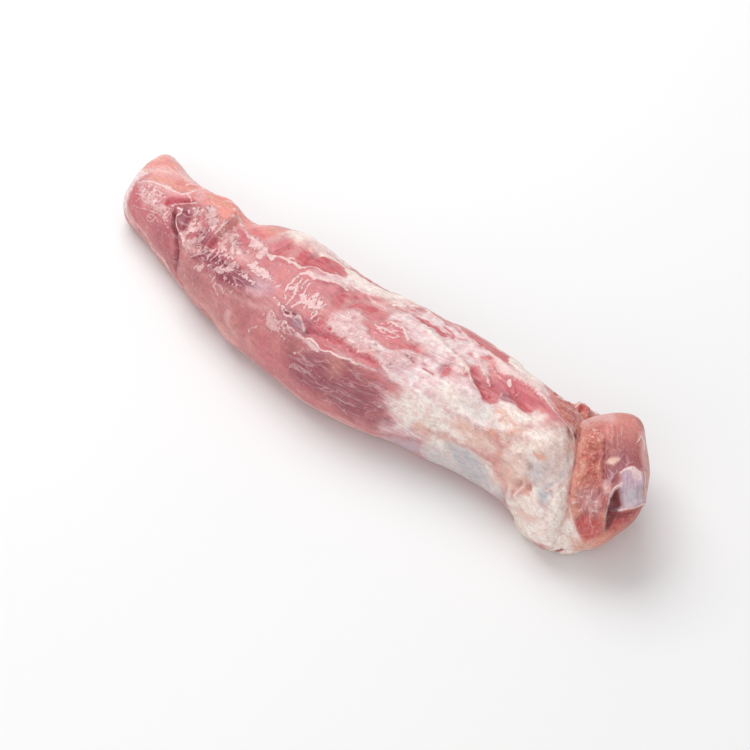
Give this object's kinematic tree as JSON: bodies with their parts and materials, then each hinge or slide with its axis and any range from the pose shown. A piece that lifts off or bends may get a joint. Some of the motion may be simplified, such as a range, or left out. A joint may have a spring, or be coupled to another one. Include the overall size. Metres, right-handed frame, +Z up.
{
  "type": "raw pork tenderloin",
  "caption": "Whole raw pork tenderloin: a long rounded muscle lying on its flat side, thin at the tail, thick at the head with its side lobe and silver skin.",
  "frame": {"origin": "on the surface that the meat lies on, under the middle of its bounding box", "axes": "+X along the length from the thin tail to the thick head, +Y to the far flank with the ragged side strip, +Z up"},
  "size_m": [0.3064, 0.0738, 0.0429],
  "materials": {
    "raw_meat": "wet raw meat, pink red with pale silver skin"
  },
  "bodies": {
    "root": {"tenderloin": "raw_meat"}
  },
  "joints": []
}
